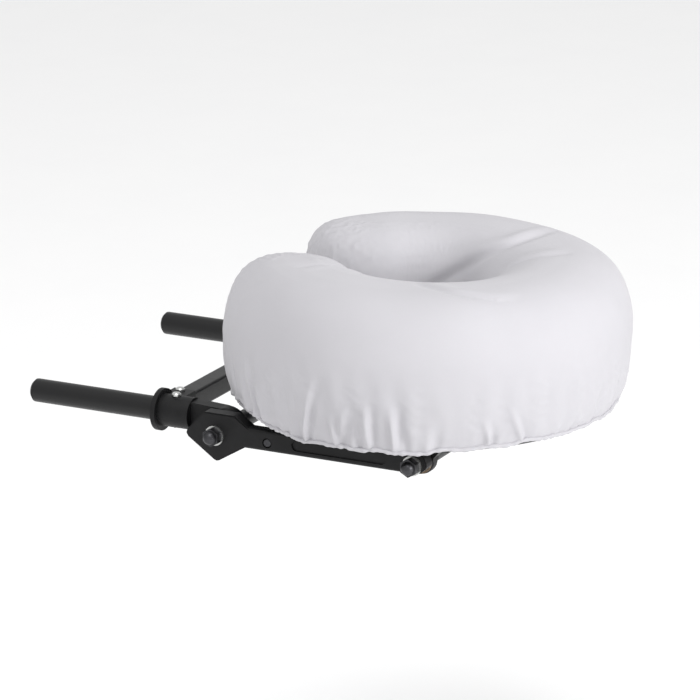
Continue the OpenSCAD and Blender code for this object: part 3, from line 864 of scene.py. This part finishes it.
def gathers(plan, rise, at):
    """Chance gathers all the way round, and the few strong ones of the near side."""
    rng = np.random.default_rng(SEED + 1)
    out = np.zeros_like(at)
    place = 0.0
    while place < plan.length:
        place += GATHER_SPACING * rng.uniform(0.4, 1.8)
        height = rng.uniform(16, 52) * MM
        width = rng.uniform(1.6, 3.8) * MM
        size = rng.uniform(0.6, 3.0) * MM
        lean, side = rng.normal(0, 0.16), rng.choice((-1, 1))
        out += gather(plan, rise, at, place, height, width, size, lean, side)
    edge = plan.feet + plan.out * OUTER_HALF_W
    for bearing, height, lean in NEAR_GATHERS:
        turn = math.radians(bearing)
        here = np.array((math.cos(turn), math.sin(turn))) * (HEAD_R + OUTER_HALF_W) + (0, HEAD_Y)
        place = plan.at[np.argmin(np.linalg.norm(edge - here, axis=1))]
        out += gather(plan, rise, at, place, height * MM, 1.9 * MM, 3.6 * MM, lean, -1)
    return out


def crease(points, out, path, width, depth):
    """A drawn fold along a path over the cloth: a valley with a softer ridge on its left."""
    path = np.array(path)
    best = np.full(len(points), 1e9)
    side, share = np.zeros(len(points)), np.zeros(len(points))
    total = len(path) - 1
    for k, (a, b) in enumerate(zip(path[:-1], path[1:])):
        d = b - a
        t = np.clip((points - a) @ d / (d @ d), 0, 1)
        off = points - (a + t[:, None] * d)
        far = np.linalg.norm(off, axis=1)
        near = far < best
        best = np.where(near, far, best)
        side = np.where(near, np.sign(np.einsum("ij,ij->i", np.cross(out, d), off)), side)
        share = np.where(near, (k + t) / total, share)
    ends = smooth(0, 0.15, share) * (1 - smooth(0.7, 1.0, share))
    signed = best * side
    valley = -np.exp(-((signed / width) ** 2))
    ridge = 0.8 * np.exp(-(((signed - 2.3 * width) / (1.6 * width)) ** 2))
    return depth * ends * (valley + ridge)


def curve_through(points, count):
    """A smooth path through a few points, with that many steps between each two."""
    p = np.array([points[0], *points, points[-1]], float)
    out = []
    for k in range(len(points) - 1):
        for t in np.linspace(0, 1, count, endpoint=k == len(points) - 2):
            out.append(cubic(*p[k : k + 4], t))
    return out


def dress(made, plan, row_n, rise):
    """Adds the gathers, drawn creases and small unevenness that are finer than the simulation."""
    co, out = coordinates(made.data), normals(made.data)
    n = plan.count
    grid = row_n * n
    at = np.tile(plan.at, row_n)
    up = np.repeat(rise[:row_n], n)
    strength = np.tile(gather_strength(plan), row_n)
    lift = np.zeros(len(co))
    lift[:grid] += strength * gathers(plan, up, at)
    small = ripple(plan, 8.5 * MM, 10, SEED + 2)
    lift[:grid] += 0.55 * MM * strength * small(at, up) * (1 - smooth(3 * MM, 16 * MM, up))
    folds = ripple(plan, 26 * MM, 20, SEED + 4)
    band = smooth(4 * MM, 18 * MM, up) * (1 - smooth(30 * MM, 78 * MM, up))
    lift[:grid] += 1.3 * MM * strength * folds(at, up) * band
    rng = np.random.default_rng(SEED + 3)
    waves = np.cos(co @ rng.normal(0, 62, (3, 8)) + rng.uniform(0, 2 * math.pi, 8)).mean(axis=1)
    lift += 1.5 * MM * waves * smooth(30 * MM, 60 * MM, co[:, 2])
    for path, width, depth in DRAWN_FOLDS:
        path = curve_through(np.multiply(path, MM), 10)
        lift += crease(co - (0, HEAD_Y, 0), out, path, width, depth)
    lift = np.where(lift < 0, DEEPEST * np.tanh(lift / DEEPEST), lift)
    set_coordinates(made.data, co + out * lift[:, None])


cover = build_cover()
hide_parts("fitted_cover")
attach(cover, "cushion")


def build_hem():
    """The hem's channel with the elastic in it: a soft roll along the cover's lower edge, puckered."""
    plan = Plan(1.6 * MM, HEM_HALF_W)
    pucker = ripple(plan, 7 * MM, 0, SEED + 5)
    wave = ripple(plan, 34 * MM, 0, SEED + 6)
    sag = hem_sag(plan)
    around = 10
    rows = []
    for k in range(around):
        angle = 2 * math.pi * k / around
        swell_by = 1 + 0.28 * pucker(plan.at, 0.0)
        offset = HEM_HALF_W + 2.4 * MM * math.cos(angle) * swell_by
        height = HEM_Z - sag + 0.6 * MM + 1.9 * MM * math.sin(angle) * swell_by
        rows.append((offset, height + 0.35 * MM * wave(plan.at, 0.0)))
    points = loop_grid(plan, rows).reshape(-1, 3)
    n = plan.count
    faces = []
    for k in range(around):
        here, above = k * n, (k + 1) % around * n
        faces += [(here + i, here + (i + 1) % n, above + (i + 1) % n, above + i) for i in range(n)]
    made = new_object("HemElastic", points, faces, looks["elastic"])
    layer = made.data.uv_layers.new(name="cloth")
    at = np.append(plan.at, plan.length)
    for face in made.data.polygons:
        columns, turns = [v % n for v in face.vertices], [v // n for v in face.vertices]
        for loop, column, turn in zip(face.loop_indices, columns, turns):
            column = n if column == 0 and max(columns) - min(columns) > n // 2 else column
            turn = around if turn == 0 and max(turns) - min(turns) > around // 2 else turn
            layer.data[loop].uv = (at[column], turn * 1.5 * MM)
    face_outwards(made)
    return made


hem = build_hem()
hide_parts("hem_elastic")
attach(hem, "cushion")

# ---- Floor, light and camera ----

FLOOR_Z = -0.34


def build_floor():
    look = Look("pale_floor", Roughness=0.85)
    grain = look.noise(9, 5, 0.6)
    look.colour(look.blend(grain, (0.96, 0.96, 0.96), (0.93, 0.93, 0.935), 0.4))
    look.bump(look.noise(240, 3, 0.5), 0.1 * MM, 0.2)
    reach = 40.0
    corners = [(x * reach, y * reach, FLOOR_Z) for x, y in ((-1, -1), (1, -1), (1, 1), (-1, 1))]
    made = new_object("Floor", corners, [(0, 1, 2, 3)], look.material, smooth_faces=False)
    return made


build_floor()
cushion_centre = Vector((0, HEAD_Y, (cover_low.z + cover_high.z) / 2))


def towards(azimuth, elevation):
    """Direction from the object to a place that is seen at that azimuth and elevation, in degrees."""
    a, e = math.radians(azimuth), math.radians(elevation)
    return Vector((math.sin(a) * math.cos(e), -math.cos(a) * math.cos(e), math.sin(e)))


def lamp(name, azimuth, elevation, distance, size, power):
    """A round soft lamp that faces the cushion: distance and size in metres, power in watts."""
    data = bpy.data.lights.new(name, "AREA")
    data.shape, data.size, data.energy = "DISK", size, power
    made = bpy.data.objects.new(name, data)
    back = towards(azimuth, elevation)
    made.location = cushion_centre + back * distance
    made.rotation_mode = "QUATERNION"
    made.rotation_quaternion = back.to_track_quat("Z", "Y")
    bpy.context.scene.collection.objects.link(made)


lamp("KeySoftbox", -10, 15, 2.6, 0.9, 42)
lamp("FillSoftbox", -100, 16, 3.0, 2.0, 2)
lamp("TopSoftbox", -75, 66, 3.0, 2.0, 40)

world = bpy.data.worlds.new("Studio")
world.use_nodes = True
world.node_tree.nodes["Background"].inputs["Color"].default_value = (1, 1, 1, 1)
world.node_tree.nodes["Background"].inputs["Strength"].default_value = 0.8
bpy.context.scene.world = world
bpy.context.scene.view_settings.view_transform = "Standard"

VIEW_AZIMUTH, VIEW_ELEVATION, VIEW_DISTANCE = -64.3, 16.2, 3.6
FRAME_WIDTH = 0.56
SENSOR_WIDTH = 36
camera_data = bpy.data.cameras.new("Camera")
camera = bpy.data.objects.new("Camera", camera_data)
bpy.context.scene.collection.objects.link(camera)
camera.location = cushion_centre + towards(VIEW_AZIMUTH, VIEW_ELEVATION) * VIEW_DISTANCE
aim = Vector((0, (cad_low.y + cad_high.y) / 2, 0.035)) - camera.location
camera.rotation_mode = "QUATERNION"
camera.rotation_quaternion = aim.to_track_quat("-Z", "Y")
camera_data.sensor_width = SENSOR_WIDTH
camera_data.lens = SENSOR_WIDTH * aim.length / FRAME_WIDTH
camera_data.clip_start, camera_data.clip_end = 0.1, 100
bpy.context.scene.camera = camera
